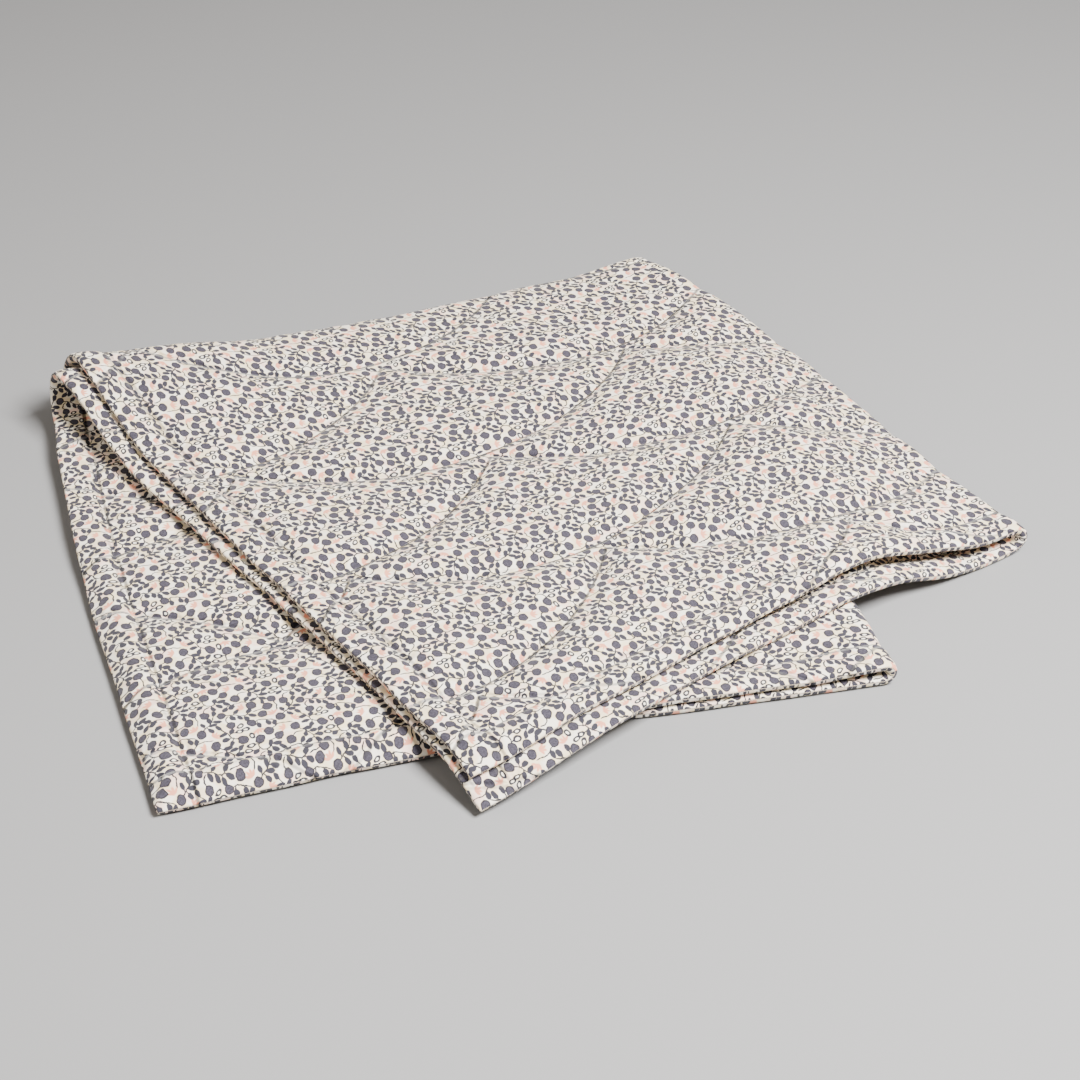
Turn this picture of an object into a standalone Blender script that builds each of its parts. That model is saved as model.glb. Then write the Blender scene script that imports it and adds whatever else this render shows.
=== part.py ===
"""Baby quilt, folded in half across its width and then turned over once more at the back.

The quilt is one padded cloth.  Every point of it has a flat position: "across" runs from one
open side (0) over the side fold (half the width) to the other open side, and "down" runs from
the near hem, under the back fold, to the hem of the flap that lies on top.  The functions
below carry a flat position to its place in the folded quilt.  The skin is then raised on both
sides of that middle surface, thick on the puffs and thin on the lines of quilting.
"""
import math

import bpy
import numpy as np

# The quilt laid flat, in metres
WIDTH = 0.92
LENGTH = 1.00
LOFT = 0.0070            # thickness at the crown of a puff
SEAM_THICK = 0.0038      # thickness on a line of quilting
HEM_THICK = 0.0034       # thickness of the sewn border
EDGE_THICK = 0.0020      # thickness at the very edge
PUFF_REACH = 0.012       # how far from a seam a puff takes to rise
BORDER = 0.024           # from the edge to the edge stitching
AIR = 0.0009             # air between layers that lie on each other

# The clamshell quilting
SCALLOP_WIDTH = 0.308
SCALLOP_DEPTH = 0.068
SCALLOP_ROW = 0.0735
SCALLOP_START = 0.044    # across: bottom of the first scallop in the odd rows
SCALLOP_FIRST = -0.0115  # bottom of the first row, measured from the top hem
SCALLOP_RADIUS = (0.25 * SCALLOP_WIDTH ** 2 + SCALLOP_DEPTH ** 2) / (2.0 * SCALLOP_DEPTH)
SCALLOP_ROWS = 15

# The fold at the back
FOLD_TURN = math.radians(25.5)     # its direction on the table
FOLD_SLANT = math.radians(9.7)     # how far it runs off the square of the cloth
FOLD_LEFT = (-0.3395, 0.1310)      # its left end on the table
UNDER_LEFT = 0.434                 # open side of the lower flap, near hem to fold
HOLLOW_LEFT = 0.0158               # radius of the inner loop at its left end
HOLLOW_RIGHT = 0.0070              # radius of the inner loop at its right end
HOLLOW_DIP = 0.0045                # the fold sags in its middle

# How the layers lie
PAIR = LOFT + AIR        # from one layer to the next, middle to middle
PAIR_OPEN = 0.0110       # the same at the open left end of the back fold
LOOP_UNDER = 0.0082      # width of the side loop in the lower flap
LOOP_TOP = 0.0140        # width of the side loop at the front of the upper flap
LOOP_REACH = 0.30        # how far that opening runs into the upper flap
SETTLE = 0.130           # distance in which the upper flap comes down from the back fold
DROOP = 0.060            # distance in which it falls to the table past the lower flap
OPEN_EXTRA = 0.009       # how far the second panel sticks out at the open side
LAG_OPEN = 0.0155        # how far the top hem stands back at the open side
LAG_FOLD = 0.0400        # the same at the side fold
HEM_BACK = 0.012         # the top layer's hem stands back further towards the side fold
HEM_BOW_TOP = 0.018      # the top hem is bowed back in its middle
HEM_BOW_UNDER = 0.0105   # the near hem of the lower flap is bowed back too
SIDE_BOW = 0.0065        # the open side of the lower flap is bowed outward
FOLD_BOW = 0.015         # the side fold of the upper flap is bowed outward, then back in
FLAP = 0.43              # length of a flap, for the bows

# The grid that the solid is built on
LOOP_STEPS = 8           # steps around the side loop
FOLD_STEPS = 9           # steps around the back loop
SCALLOP_STEPS = 6        # steps in half a scallop
ROW_STEPS = 3            # steps from one line of quilting to the next
ROW_LEAST = 0.0045       # least distance between two grid rows
LOOP_CLEAR = 0.024       # from the side crease to the nearest plain grid column
FOLD_SPARE = 0.006       # how far the dense rows reach past the back loop
TOP_ROWS = 7             # lines of quilting on the upper flap
CLOTH_COLOUR = (0.66, 0.64, 0.62, 1.0)


def ease(value):
    """Rise smoothly from 0 to 1."""
    value = np.clip(value, 0.0, 1.0)
    return value * value * (3.0 - 2.0 * value)


def heading(angle):
    """Unit vector on the table."""
    return math.cos(angle), math.sin(angle)


def fold_run(up, down):
    """Distance past the back fold line, and position along it, of a strip position."""
    rise = down - UNDER_LEFT
    past = (rise - math.tan(FOLD_SLANT) * up) * math.cos(FOLD_SLANT)
    along = up * math.cos(FOLD_SLANT) + rise * math.sin(FOLD_SLANT)
    return past, along


def stage_of(up, down):
    """-1 at the near hem, 0 at the back fold, +1 at the top hem."""
    past, _ = fold_run(up, down)
    return np.clip(past / FLAP, -1.0, 1.0)


def hollow(up):
    """Radius of the inner back loop."""
    share = np.clip(up / (0.5 * WIDTH), 0.0, 1.0)
    dip = HOLLOW_DIP * np.sin(math.pi * share)
    return HOLLOW_LEFT + (HOLLOW_RIGHT - HOLLOW_LEFT) * share - dip


def side_loop(across, down):
    """Width of the side loop, and the across position of its crease."""
    up = np.minimum(across, WIDTH - across)
    stage = stage_of(up, down)
    width = LOOP_UNDER + (LOOP_TOP - LOOP_UNDER) * ease(stage * 1.05)
    uneven = OPEN_EXTRA * (ease((stage + 0.9) / 0.8) - ease((stage - 0.15) / 0.8))
    crease = 0.5 * WIDTH - 0.5 * uneven
    return width, crease


def cross_fold(across, down):
    """Position across the folded strip, the share on the outer panel, and the loop width."""
    width, crease = side_loop(across, down)
    radius = 0.5 * width
    turn = np.clip((across - crease) / radius + 0.5 * math.pi, 0.0, math.pi)
    centre = crease - 0.5 * math.pi * radius
    strip = np.where(turn <= 0.0, across, centre + radius * np.sin(turn))
    strip = np.where(turn >= math.pi, 2.0 * crease - across, strip)
    outer = 0.5 + 0.5 * np.cos(turn)
    return strip, outer, width, centre


def layer_gap(strip, past, width, centre):
    """Distance between the two panels of the folded strip, middle to middle."""
    from_side = np.clip(centre - strip, 0.0, None)
    near_fold = 1.0 - ease(np.abs(past - 0.03) / 0.12)
    near_open = 1.0 - ease(strip / 0.14)
    gap = PAIR + (PAIR_OPEN - PAIR) * near_fold * near_open
    reach = 0.05 + LOOP_REACH * (width - LOOP_UNDER) / (LOOP_TOP - LOOP_UNDER)
    return gap + np.maximum(width - gap, 0.0) * (1.0 - ease(from_side / reach))


def lower_flap_height(x, y):
    """Top of the lower flap at a place on the table, falling away past its edges."""
    ux, uy = heading(FOLD_TURN - FOLD_SLANT)
    from_x = x - FOLD_LEFT[0]
    from_y = y - FOLD_LEFT[1]
    across = from_x * ux + from_y * uy
    down = -from_x * uy + from_y * ux + UNDER_LEFT
    outside = np.maximum(across - 0.5 * WIDTH, -down)
    outside = np.maximum(outside, -across)
    return (LOFT + PAIR + AIR) * (1.0 - ease((outside - 0.003) / DROOP))


def top_hem_shift(across, outer, gap):
    """How far a point moves at the top hem from where the back loop would leave it."""
    share = np.clip(across / (0.5 * WIDTH), 0.0, 2.0)
    lag = np.where(share < 1.0, LAG_OPEN + (LAG_FOLD - LAG_OPEN) * share, LAG_FOLD * (2.0 - share))
    up = np.minimum(across, WIDTH - across) / (0.5 * WIDTH)
    bow = HEM_BOW_TOP * np.sin(math.pi * np.clip(up, 0.0, 1.0)) ** 1.5
    back = HEM_BACK * outer * np.sin(math.pi * np.clip(up, 0.0, 1.0) ** 1.7)
    return math.pi * gap * outer - lag - bow - back


def place(across, down):
    """Place in the folded quilt of the middle of the cloth."""
    strip, outer, width, centre = cross_fold(across, down)
    past, along = fold_run(strip, down)
    gap = layer_gap(strip, past, width, centre)
    inner_radius = hollow(strip)
    radius = inner_radius + gap * outer
    run = past / radius
    turn = np.clip(run, 0.0, math.pi)
    beyond = np.clip(past - math.pi * radius, 0.0, None)
    beyond = beyond + top_hem_shift(across, outer, gap) * np.clip(beyond / FLAP, 0.0, 1.2)
    reach = np.where(past < 0.0, past, radius * np.sin(turn) - beyond)
    # bows of the lower flap's near hem and open side
    under = np.clip(-past / FLAP, 0.0, 1.0)
    side = np.clip(strip / (0.5 * WIDTH), 0.0, 1.0)
    reach = reach + HEM_BOW_UNDER * under * under * np.sin(math.pi * side)
    along = along - SIDE_BOW * np.sin(math.pi * under) * (1.0 - ease(side / 0.7))
    over = np.clip(beyond / FLAP, 0.0, 1.1)
    along = along + FOLD_BOW * np.sin(1.5 * math.pi * over) * ease((side - 0.2) / 0.7)
    ux, uy = heading(FOLD_TURN)
    x = FOLD_LEFT[0] + along * ux - reach * uy
    y = FOLD_LEFT[1] + along * uy + reach * ux
    around = 0.5 * LOFT + inner_radius + gap - np.cos(turn) * radius
    spare = 2.0 * inner_radius + gap + 0.5 * LOFT
    rest = 0.5 * LOFT + lower_flap_height(x, y)
    settled = rest + (spare - rest) * (1.0 - ease(beyond / SETTLE)) + gap * outer
    z = np.where(turn >= math.pi, settled, around)
    return np.stack([x, y, z], axis=-1)


def seam_line(row, across):
    """Distance from the top hem to a line of quilting, and its slope."""
    start = SCALLOP_START + 0.5 * SCALLOP_WIDTH * ((row + 1) % 2)
    offset = np.mod(across - start + 0.5 * SCALLOP_WIDTH, SCALLOP_WIDTH) - 0.5 * SCALLOP_WIDTH
    drop = np.sqrt(SCALLOP_RADIUS ** 2 - offset ** 2)
    return SCALLOP_FIRST + row * SCALLOP_ROW + SCALLOP_RADIUS - drop, offset / drop


def thickness(across, down):
    """Thickness of the quilt: puffs between the seams, and a thin border."""
    from_top = LENGTH - down
    seam = np.full(np.shape(across), 1.0)
    for row in range(SCALLOP_ROWS):
        line, slope = seam_line(row, across)
        seam = np.minimum(seam, np.abs(from_top - line) / np.sqrt(1.0 + slope * slope))
    edge = np.minimum(np.minimum(across, WIDTH - across), np.minimum(down, from_top))
    seam = np.minimum(seam, np.abs(edge - BORDER))
    puff = SEAM_THICK + (LOFT - SEAM_THICK) * ease(seam / PUFF_REACH / 1.6)
    hem = EDGE_THICK + (HEM_THICK - EDGE_THICK) * ease(edge / (0.5 * BORDER))
    return np.where(edge < BORDER - 0.001, np.minimum(puff, hem), puff)


def skin(across, down):
    """The two faces of the cloth, outer and inner, as points on a grid."""
    step = 0.0003
    middle = place(across, down)
    along_across = place(across + step, down) - place(across - step, down)
    along_down = place(across, down + step) - place(across, down - step)
    normal = np.cross(along_down, along_across)
    normal /= np.linalg.norm(normal, axis=-1, keepdims=True)
    sunk = (LOFT - thickness(across, down))[..., None]
    upward = ease(0.5 + 0.5 * normal[..., 2:])
    outer = middle + normal * (0.5 * LOFT - sunk * upward)
    inner = middle - normal * (0.5 * LOFT - sunk * (1.0 - upward))
    return outer, inner


def spread(first, last, count):
    """Evenly spaced values after first, up to and including last."""
    return [first + (last - first) * step / count for step in range(1, count + 1)]


def plain_columns():
    """Across positions on the two sides of the side loop; scallop points lie on them."""
    half = 0.5 * SCALLOP_WIDTH
    near = [0.0, 0.5 * BORDER, BORDER, SCALLOP_START]
    near += spread(near[-1], SCALLOP_START + 2.0 * half, 2 * SCALLOP_STEPS)
    near += spread(near[-1], 0.5 * WIDTH - LOOP_CLEAR, 3)
    far = [0.5 * WIDTH + LOOP_CLEAR, SCALLOP_START + 3.0 * half]
    far += spread(far[-1], SCALLOP_START + 5.0 * half, 2 * SCALLOP_STEPS)
    far += spread(far[-1], WIDTH - BORDER, 3)
    far += [WIDTH - 0.5 * BORDER, WIDTH]
    return near, far


def quilted_rows(across, rows, start, end):
    """Distances from the top hem on the lines of quilting, kept between start and end."""
    levels = []
    for row in rows:
        line, _ = seam_line(row, across)
        following, _ = seam_line(row + 1, across)
        levels += [line + (following - line) * step / ROW_STEPS for step in range(ROW_STEPS)]
    last = len(levels)
    kept = []
    for place_in_row, level in enumerate(levels):
        least = start + ROW_LEAST * (place_in_row + 1)
        most = end - ROW_LEAST * (last - place_in_row)
        kept.append(min(max(level, least), most))
    return kept


def grid_rows(across):
    """Down positions at one across position, dense around the back fold."""
    up = min(across, WIDTH - across)
    fold = UNDER_LEFT + math.tan(FOLD_SLANT) * up
    outer = float(cross_fold(np.array(across), np.array(fold))[1])
    bend = math.pi * (float(hollow(up)) + PAIR * outer) / math.cos(FOLD_SLANT)
    top_end = LENGTH - fold - bend - FOLD_SPARE
    under_start = LENGTH - fold + FOLD_SPARE
    levels = [0.0, 0.5 * BORDER, BORDER]
    levels += quilted_rows(across, range(TOP_ROWS), BORDER, top_end)
    levels.append(top_end)
    levels += spread(top_end, under_start, FOLD_STEPS)
    levels += quilted_rows(across, range(TOP_ROWS, SCALLOP_ROWS - 1), under_start, LENGTH - BORDER)
    levels += [LENGTH - BORDER, LENGTH - 0.5 * BORDER, LENGTH]
    return [LENGTH - level for level in reversed(levels)]


def flat_grid():
    """Flat positions of the grid's points, column by column."""
    near, far = plain_columns()
    columns = [(value, np.array(grid_rows(value))) for value in near]
    crease_rows = np.array(grid_rows(0.5 * WIDTH))
    width, crease = side_loop(np.full(len(crease_rows), 0.5 * WIDTH), crease_rows)
    for step in range(LOOP_STEPS + 1):
        turn = math.pi * (step / LOOP_STEPS - 0.5)
        columns.append((crease + 0.5 * width * turn, crease_rows))
    columns += [(value, np.array(grid_rows(value))) for value in far]
    across = np.array([np.broadcast_to(value, rows.shape) for value, rows in columns])
    down = np.array([rows for _, rows in columns])
    return across, down


def quilt_mesh():
    """Closed mesh of the folded quilt, standing on the ground over the origin."""
    across, down = flat_grid()
    outer, inner = skin(across, down)
    count_across, count_down = across.shape
    points = np.concatenate([outer.reshape(-1, 3), inner.reshape(-1, 3)])
    low = points.min(axis=0)
    high = points.max(axis=0)
    points -= np.array([0.5 * (low[0] + high[0]), 0.5 * (low[1] + high[1]), low[2]])
    under = count_across * count_down

    def index(column, row):
        return column * count_down + row

    faces = []
    for column in range(count_across - 1):
        for row in range(count_down - 1):
            corners = [(column, row), (column, row + 1), (column + 1, row + 1), (column + 1, row)]
            ring = [index(*corner) for corner in corners]
            faces.append(ring)
            faces.append([under + value for value in reversed(ring)])
    rim = [(column, 0) for column in range(count_across)]
    rim += [(count_across - 1, row) for row in range(1, count_down)]
    rim += [(column, count_down - 1) for column in range(count_across - 2, -1, -1)]
    rim += [(0, row) for row in range(count_down - 2, 0, -1)]
    for one, other in zip(rim, rim[1:] + rim[:1]):
        first = index(*one)
        second = index(*other)
        faces.append([first, second, under + second, under + first])
    mesh = bpy.data.meshes.new("quilt")
    mesh.from_pydata(points.tolist(), [], faces)
    mesh.update()
    return mesh


def cloth_material():
    """Printed cotton, seen from afar."""
    cloth = bpy.data.materials.new("quilted_cotton")
    cloth.use_nodes = True
    shader = cloth.node_tree.nodes["Principled BSDF"]
    shader.inputs["Base Color"].default_value = CLOTH_COLOUR
    shader.inputs["Roughness"].default_value = 0.92
    shader.inputs["Metallic"].default_value = 0.0
    return cloth


def main():
    for item in list(bpy.data.objects):
        bpy.data.objects.remove(item, do_unlink=True)
    quilt = bpy.data.objects.new("quilt", quilt_mesh())
    quilt.data.materials.append(cloth_material())
    quilt.data.shade_smooth()
    bpy.context.scene.collection.objects.link(quilt)


main()
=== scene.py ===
# %% [markdown]
# # A folded baby quilt
#
# The quilt is one padded cloth: two faces of thin printed cotton with a sheet of soft padding
# between them, sewn through in clamshell arcs, its edges turned in and topstitched.  It lies
# folded, so this lesson folds a flat cloth with functions, raises the padding on it, and
# prints it.

import math

import bpy
import numpy as np
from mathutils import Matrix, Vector


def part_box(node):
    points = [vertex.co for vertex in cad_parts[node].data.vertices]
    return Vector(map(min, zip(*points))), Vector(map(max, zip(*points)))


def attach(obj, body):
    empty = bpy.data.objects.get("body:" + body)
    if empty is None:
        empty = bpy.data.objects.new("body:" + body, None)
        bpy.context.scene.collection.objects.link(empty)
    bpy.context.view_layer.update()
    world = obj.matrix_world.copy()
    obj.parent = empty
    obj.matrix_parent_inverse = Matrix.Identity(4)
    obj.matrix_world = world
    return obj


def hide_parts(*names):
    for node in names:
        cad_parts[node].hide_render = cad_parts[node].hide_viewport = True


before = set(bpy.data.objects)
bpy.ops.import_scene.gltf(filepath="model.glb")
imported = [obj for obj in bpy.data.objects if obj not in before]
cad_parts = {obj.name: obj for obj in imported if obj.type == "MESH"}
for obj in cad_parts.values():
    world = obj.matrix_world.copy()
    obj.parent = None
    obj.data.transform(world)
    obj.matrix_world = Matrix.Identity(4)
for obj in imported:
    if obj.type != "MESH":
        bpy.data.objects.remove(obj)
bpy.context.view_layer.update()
cad_low, cad_high = (np.array(corner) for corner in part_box("quilt"))
print("the folded quilt's box in mm:", np.round((cad_high - cad_low) * 1000.0, 1))

# %% [markdown]
# ## The cloth laid flat
#
# Everything is first said on the flat cloth.  "Across" runs from one open side, over the side
# fold, to the other open side.  "Down" runs from the near hem, under the back fold, to the hem
# of the flap that lies on top.  A flat plan like this is how a quilter marks the seams, and it
# also gives the print a map without any stretch.

# %% Sizes of the flat cloth, in metres
WIDTH = 0.92
LENGTH = 1.00
LOFT = 0.0070  # thickness at the crown of a puff
AIR = 0.0009  # between layers that lie on each other
PAIR = LOFT + AIR  # from one layer to the next, middle to middle
BORDER = 0.024  # from the edge to the edge stitching

SCALLOP_WIDTH = 0.308
SCALLOP_DEPTH = 0.068
SCALLOP_ROW = 0.0735  # from one row of scallops to the next
SCALLOP_START = 0.044  # across: bottom of the first scallop in the odd rows
SCALLOP_FIRST = -0.0115  # bottom of the first row, measured from the top hem
SCALLOP_RADIUS = (0.25 * SCALLOP_WIDTH**2 + SCALLOP_DEPTH**2) / (2.0 * SCALLOP_DEPTH)
SCALLOP_ROWS = 15
print("radius of a quilting arc in mm:", round(SCALLOP_RADIUS * 1000.0, 1))

# %% [markdown]
# ## The two folds
#
# A fold in padded cloth isn't a crease: it is a soft loop whose width depends on what lies
# inside it.  The side fold is a half circle that carries one panel over the other.  The back
# fold turns both panels over at a slant, which leaves the upper flap twisted over the lower
# one.  Both are written as formulas, because a formula keeps the length of the cloth, and a
# hand-bent mesh would stretch the print.
#
# Much of the cloth changes softly from one state to another.  Each such change has a span,
# which says where it starts and how far it takes.

# %% Sizes of the back fold, in metres
FOLD_TURN = math.radians(25.5)  # its direction on the table
FOLD_SLANT = math.radians(9.7)  # how far it runs off the square of the cloth
FOLD_LEFT = (-0.3395, 0.1310)  # its left end on the table
UNDER_LEFT = 0.434  # open side of the lower flap, near hem to fold
FLAP = 0.43  # length of a flap, for shares along it
HOLLOW_LEFT = 0.0158  # radius of the inner loop at its left end
HOLLOW_RIGHT = 0.0070  # radius of the inner loop at its right end
HOLLOW_DIP = 0.0045  # the fold sags in its middle
SETTLE = 0.130  # distance in which the upper flap comes down from the fold

# %% Sizes of the side fold and the open side, in metres
LOOP_UNDER = 0.0082  # width of the side loop in the lower flap
LOOP_BULGE = 0.0034  # how much wider it is at the near hem
BULGE_SPAN = (0.78, 0.20)  # in shares of the lower flap, away from the back fold
LOOP_TOP = 0.0160  # width of the side loop at the front of the upper flap
LOOP_HASTE = 1.05  # it is fully open a little before that front
LOOP_REACH = 0.30  # how far that opening runs in among the layers
LOOP_LEAST = 0.05  # how far the lower loop's opening runs in
OPEN_EXTRA = 0.009  # how far the second panel sticks out at the open side
EXTRA_GROWS = (-0.90, 0.80)  # in shares of a flap, past the back fold
EXTRA_FADES = (0.15, 0.80)
PAIR_OPEN = 0.0110  # distance between layers at the open end of the back fold
WIDE_MIDDLE = 0.03  # how far past the fold line that is widest
WIDE_REACH = 0.12
WIDE_IN = 0.14  # how far in from the open side it dies out

# %% How the hems lie, in metres
DROOP_START = 0.003  # how far past the lower flap the upper one begins to fall
DROOP_FRONT = 0.060  # distance in which it falls to the table at the front
DROOP_SIDE = 0.102  # and at the side fold
LAG_OPEN = 0.0155  # how far the top hem stands back at the open side
LAG_FOLD = 0.0400  # the same at the side fold
LAG_MOST = 1.2  # last share of the flap in which it still grows
HEM_BACK = 0.012  # the top layer's hem stands back further towards the side fold
HEM_BACK_POWER = 1.7  # more brings that nearer to the side fold
HEM_BOW_TOP = 0.018  # the top hem is bowed back in its middle
HEM_BOW_POWER = 1.5  # more makes that bow narrower
HEM_BOW_UNDER = 0.0105  # the near hem of the lower flap is bowed back too
SIDE_BOW = 0.0065  # the open side of the lower flap is bowed outward
SIDE_BOW_IN = 0.7  # share of the width in which that dies out
FOLD_BOW = 0.015  # the side fold of the upper flap is bowed outward, then back in
BOW_IN = (0.2, 0.7)  # in shares of the width, from the open side
BOW_MOST = 1.1  # last share of the flap that it is counted in
CORNER_OUT = 0.005  # how far its corner is drawn out
CORNER_SPAN = (0.78, 0.22)  # in shares of the flap
WAIST = 0.8 * CORNER_OUT  # how far the fold is drawn in before the corner
WAIST_MIDDLE = 0.57
WAIST_REACH = 0.14
TUCK = 0.012  # how far the lowest layer is drawn in at the front left
TUCK_FADE = 0.06  # how far in from the hem that dies out
TUCK_LEFT = (0.35, 0.40)  # where it ends, in shares of the width
TUCK_FRONT = (0.20, 0.15)  # where it ends along the open side
TUCK_REACH = 0.018  # strip of the layer above that drops over it


# %% Small helpers for smooth change
def ease(value):
    """Rise smoothly from 0 to 1."""
    value = np.clip(value, 0.0, 1.0)
    return value * value * (3.0 - 2.0 * value)


def grows(value, span):
    """Rise smoothly from 0 to 1 over a span."""
    start, reach = span
    return ease((value - start) / reach)


def fades_out(value, span):
    """Fall smoothly from 1 to 0 over a span."""
    return 1.0 - grows(value, span)


NOISE_CELLS = 64


def soft_noise(x, y, cell, seed):
    """Smooth unevenness between -1 and 1, with lumps of about the cell's size."""
    table = np.random.default_rng(seed).random((NOISE_CELLS, NOISE_CELLS)) * 2.0 - 1.0
    u = np.asarray(x) / cell
    v = np.asarray(y) / cell
    column = np.floor(u).astype(int)
    row = np.floor(v).astype(int)
    blend_u = ease(u - column)
    blend_v = ease(v - row)

    def corner(right, up):
        return table[(column + right) % NOISE_CELLS, (row + up) % NOISE_CELLS]

    near = corner(0, 0) * (1.0 - blend_u) + corner(1, 0) * blend_u
    far = corner(0, 1) * (1.0 - blend_u) + corner(1, 1) * blend_u
    return near * (1.0 - blend_v) + far * blend_v


# %% The side fold
def fold_run(up, down):
    """Distance past the back fold line, and position along it."""
    rise = down - UNDER_LEFT
    past = (rise - math.tan(FOLD_SLANT) * up) * math.cos(FOLD_SLANT)
    along = up * math.cos(FOLD_SLANT) + rise * math.sin(FOLD_SLANT)
    return past, along


def side_loop(across, down):
    """Width of the side loop, and the across position of its crease."""
    up = np.minimum(across, WIDTH - across)
    past, _ = fold_run(up, down)
    stage = np.clip(past / FLAP, -1.0, 1.0)
    width = LOOP_UNDER + (LOOP_TOP - LOOP_UNDER) * ease(stage * LOOP_HASTE)
    width = width + LOOP_BULGE * grows(-stage, BULGE_SPAN)
    extra = OPEN_EXTRA * (grows(stage, EXTRA_GROWS) - grows(stage, EXTRA_FADES))
    crease = 0.5 * WIDTH - 0.5 * extra
    return width, crease


def cross_fold(across, down):
    """Position across the folded strip, share on the outer panel, loop width and start."""
    width, crease = side_loop(across, down)
    radius = 0.5 * width
    turn = np.clip((across - crease) / radius + 0.5 * math.pi, 0.0, math.pi)
    start = crease - 0.5 * math.pi * radius
    strip = np.where(turn <= 0.0, across, start + radius * np.sin(turn))
    strip = np.where(turn >= math.pi, 2.0 * crease - across, strip)
    outer = 0.5 + 0.5 * np.cos(turn)
    return strip, outer, width, start


# %% How far apart the layers lie
def hollow(strip):
    """Radius of the inner back loop."""
    share = np.clip(strip / (0.5 * WIDTH), 0.0, 1.0)
    dip = HOLLOW_DIP * np.sin(math.pi * share)
    return HOLLOW_LEFT + (HOLLOW_RIGHT - HOLLOW_LEFT) * share - dip


def layer_gap(strip, past, width, start):
    """From one panel of the folded strip to the other, middle to middle."""
    from_side = np.clip(start - strip, 0.0, None)
    near_fold = 1.0 - ease(np.abs(past - WIDE_MIDDLE) / WIDE_REACH)
    near_open = 1.0 - ease(strip / WIDE_IN)
    gap = PAIR + (PAIR_OPEN - PAIR) * near_fold * near_open
    opened = np.where(past < 0.0, 0.0, (width - LOOP_UNDER) / (LOOP_TOP - LOOP_UNDER))
    reach = LOOP_LEAST + LOOP_REACH * opened
    return gap + np.maximum(width - gap, 0.0) * (1.0 - ease(from_side / reach))


def lower_flap_height(x, y):
    """Top of the lower flap under the upper one, falling away past its edges."""
    turn = FOLD_TURN - FOLD_SLANT
    from_x = x - FOLD_LEFT[0]
    from_y = y - FOLD_LEFT[1]
    across = from_x * math.cos(turn) + from_y * math.sin(turn)
    down = -from_x * math.sin(turn) + from_y * math.cos(turn) + UNDER_LEFT
    beside = (across - 0.5 * WIDTH - DROOP_START) / DROOP_SIDE
    before = (np.maximum(-down, -across) - DROOP_START) / DROOP_FRONT
    strip = np.clip(across, 0.0, 0.5 * WIDTH)
    down = np.maximum(down, 0.0)
    width, crease = side_loop(strip, down)
    past, _ = fold_run(strip, down)
    gap = layer_gap(strip, np.minimum(past, 0.0), width, crease - 0.25 * math.pi * width)
    return (LOFT + gap + AIR) * (1.0 - ease(np.maximum(beside, before)))


# %% How the hems are drawn
def tuck(across, down, side):
    """How far the lowest layer is drawn in at its front and open side, and the drop there."""
    left = fades_out(side, TUCK_LEFT)
    front = fades_out(down, TUCK_FRONT)
    drop_front = (1.0 - ease(down / TUCK_REACH)) * left**2
    drop_side = (1.0 - ease((WIDTH - across) / TUCK_REACH)) * front**2
    back = TUCK * (1.0 - ease(down / TUCK_FADE)) * left
    aside = TUCK * (1.0 - ease(across / TUCK_FADE)) * front
    return back, aside, np.maximum(drop_front, drop_side)


def top_hem_shift(across, outer, gap):
    """How far the top hem stands from where the back loop would leave it."""
    share = across / (0.5 * WIDTH)
    first_half = LAG_OPEN + (LAG_FOLD - LAG_OPEN) * share
    lag = np.where(share < 1.0, first_half, LAG_FOLD * (2.0 - share))
    up = np.clip(np.minimum(share, 2.0 - share), 0.0, 1.0)
    bow = HEM_BOW_TOP * np.sin(math.pi * up) ** HEM_BOW_POWER
    back = HEM_BACK * outer * np.sin(math.pi * up**HEM_BACK_POWER)
    return math.pi * gap * outer - lag - bow - back


def side_fold_bow(over, side):
    """How far the upper flap's side fold is bowed outward at a share of the flap."""
    bow = FOLD_BOW * np.sin(1.5 * math.pi * over) + CORNER_OUT * grows(over, CORNER_SPAN)
    bow = bow - WAIST * np.exp(-(((over - WAIST_MIDDLE) / WAIST_REACH) ** 2))
    return bow * grows(side, BOW_IN)


# %% The whole fold
def place(across, down):
    """Place in the folded quilt of the middle of the cloth."""
    strip, outer, width, start = cross_fold(across, down)
    past, along = fold_run(strip, down)
    gap = layer_gap(strip, past, width, start)
    inner_radius = hollow(strip)
    radius = inner_radius + gap * outer
    turn = np.clip(past / radius, 0.0, math.pi)

    beyond = np.clip(past - math.pi * radius, 0.0, None)
    beyond = beyond + top_hem_shift(across, outer, gap) * np.clip(beyond / FLAP, 0.0, LAG_MOST)
    reach = np.where(past < 0.0, past, radius * np.sin(turn) - beyond)
    under = np.clip(-past / FLAP, 0.0, 1.0)
    over = np.clip(beyond / FLAP, 0.0, BOW_MOST)
    side = np.clip(strip / (0.5 * WIDTH), 0.0, 1.0)
    reach = reach + HEM_BOW_UNDER * under * under * np.sin(math.pi * side)
    along = along - SIDE_BOW * np.sin(math.pi * under) * (1.0 - ease(side / SIDE_BOW_IN))
    along = along + side_fold_bow(over, side)

    back, aside, drop = tuck(across, down, side)
    below = np.where(past < 0.0, outer, 0.0)
    reach = reach + back * below
    along = along + aside * below
    x = FOLD_LEFT[0] + along * math.cos(FOLD_TURN) - reach * math.sin(FOLD_TURN)
    y = FOLD_LEFT[1] + along * math.sin(FOLD_TURN) + reach * math.cos(FOLD_TURN)

    around = 0.5 * LOFT + inner_radius + gap - np.cos(turn) * radius
    spare = 2.0 * inner_radius + gap + 0.5 * LOFT
    rest = 0.5 * LOFT + lower_flap_height(x, y)
    settled = rest + (spare - rest) * (1.0 - ease(beyond / SETTLE)) + gap * outer
    around = around - gap * (1.0 - outer) * drop
    z = np.where(turn >= math.pi, settled, around)
    return np.stack([x, y, z], axis=-1)


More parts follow.
